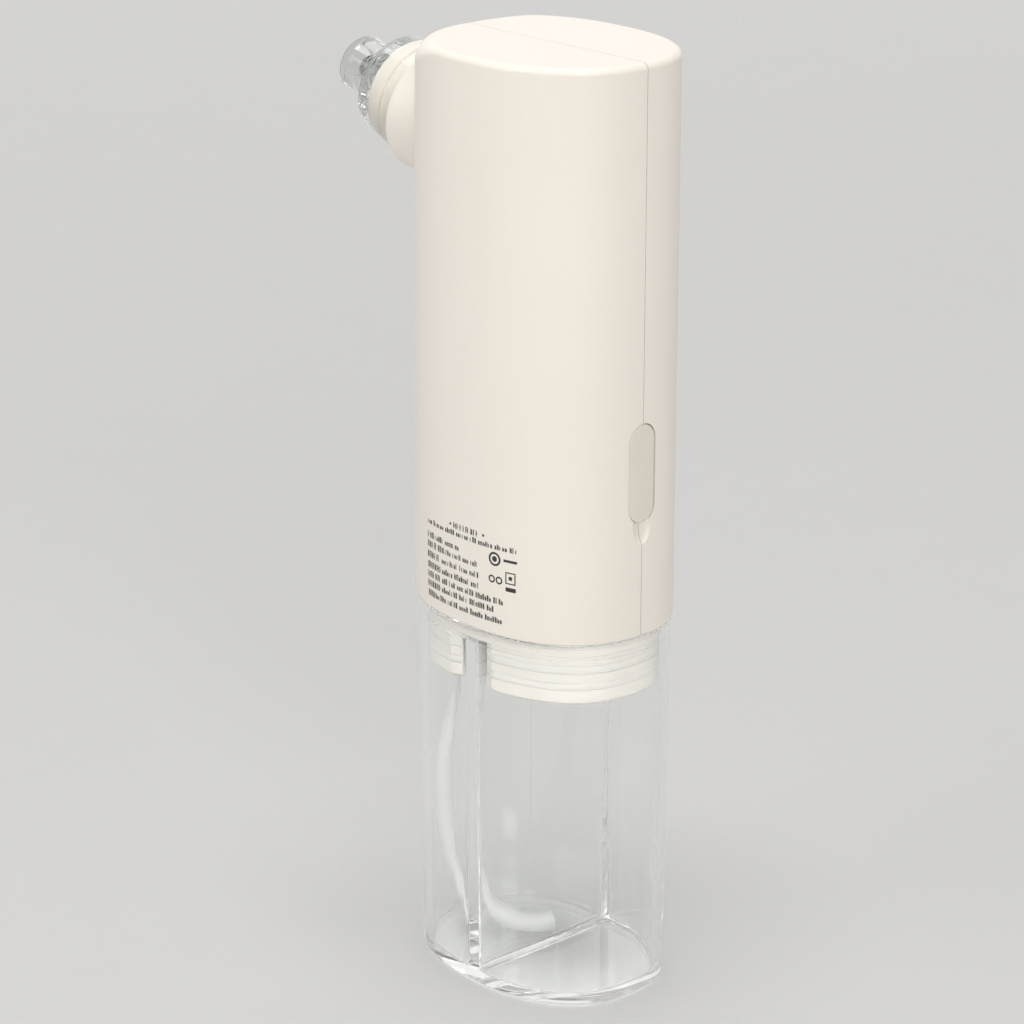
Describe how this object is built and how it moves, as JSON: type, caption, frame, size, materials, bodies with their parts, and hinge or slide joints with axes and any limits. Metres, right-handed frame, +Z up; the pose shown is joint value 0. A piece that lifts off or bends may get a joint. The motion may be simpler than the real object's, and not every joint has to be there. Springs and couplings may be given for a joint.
{
  "type": "vacuum pore cleaner",
  "caption": "Hand-held vacuum pore cleaner with a clear tank for clean and waste water below an ivory body, and a clear suction head on a tilted nozzle",
  "frame": {"origin": "centre of the tank's flat underside, on which the device stands", "axes": "+Z up along the device; -X the end with the suction nozzle; +X the end with the charging port; -Y the printed wide face; +Y the wide face with the power button"},
  "size_m": [0.0789, 0.0404, 0.18],
  "materials": {
    "ivory_plastic": "warm ivory ABS, satin",
    "clear_plastic": "clear, polished",
    "white_silicone": "translucent white silicone",
    "port_silicone": "matt silicone, slightly greyer than the body",
    "grey_plastic": "moulded, matt",
    "black_plastic": "moulded, matt",
    "circuit_green": "green solder mask on laminate",
    "battery_foil": "foil pouch",
    "steel": "plated steel",
    "wire_red": "insulated lead",
    "filter_foam": "open foam"
  },
  "bodies": {
    "tank": {"clear_tank": "clear_plastic"},
    "main_body": {"air_filter": "filter_foam", "base_plug": "ivory_plastic", "battery_cell": "battery_foil", "battery_lead": "wire_red", "board_screw_1": "steel", "board_screw_2": "steel", "button_shell": "ivory_plastic", "charge_board": "circuit_green", "charge_lead": "wire_red", "chassis_screw_1": "steel", "chassis_screw_2": "steel", "chassis_screw_3": "steel", "chassis_screw_4": "steel", "clean_seal_lower": "white_silicone", "clean_seal_upper": "white_silicone", "inner_chassis": "grey_plastic", "main_board": "circuit_green", "motor_can": "steel", "motor_lead": "wire_red", "nozzle_neck": "ivory_plastic", "nozzle_spigot": "ivory_plastic", "printed_shell": "ivory_plastic", "pump_diaphragm": "white_silicone", "pump_head_cover": "black_plastic", "pump_housing": "black_plastic", "pump_screw_1": "steel", "pump_screw_2": "steel", "pump_valve_plate": "grey_plastic", "pump_yoke": "grey_plastic", "spigot_seal_ring": "white_silicone", "suction_tube": "white_silicone", "tact_switch": "black_plastic", "usb_socket": "steel", "vacuum_hose": "white_silicone", "waste_hose": "white_silicone", "waste_seal_lower": "white_silicone", "waste_seal_upper": "white_silicone", "water_hose": "white_silicone", "water_jet_tube": "clear_plastic"},
    "button": {"power_button": "ivory_plastic", "switch_plunger": "steel"},
    "port_cover": {"port_cover": "port_silicone"},
    "suction_head": {"suction_head": "clear_plastic"},
    "pump_shaft": {"motor_shaft": "steel", "pump_crank": "grey_plastic"}
  },
  "joints": [
    {"name": "body_lift_off", "type": "slide", "parent": "tank", "child": "main_body", "axis": [0, 0, 1], "range_m": [0, 0.072]},
    {"name": "button_press", "type": "slide", "parent": "main_body", "child": "button", "axis": [0, -1, 0], "range_m": [0, 0.0005], "stiffness_N_per_m": 3000},
    {"name": "port_cover_hinge", "type": "hinge", "parent": "main_body", "child": "port_cover", "pos_m": [0.0262, 0, 0.1149], "axis": [0, -1, 0], "range_deg": [0, 100]},
    {"name": "head_pull_off", "type": "slide", "parent": "main_body", "child": "suction_head", "axis": [-0.9753, 0, 0.2207], "range_m": [0, 0.021]},
    {"name": "pump_spin", "type": "hinge", "parent": "main_body", "child": "pump_shaft", "pos_m": [-0.004, 0.0042, 0.1], "axis": [0, 0, 1], "continuous": true}
  ]
}
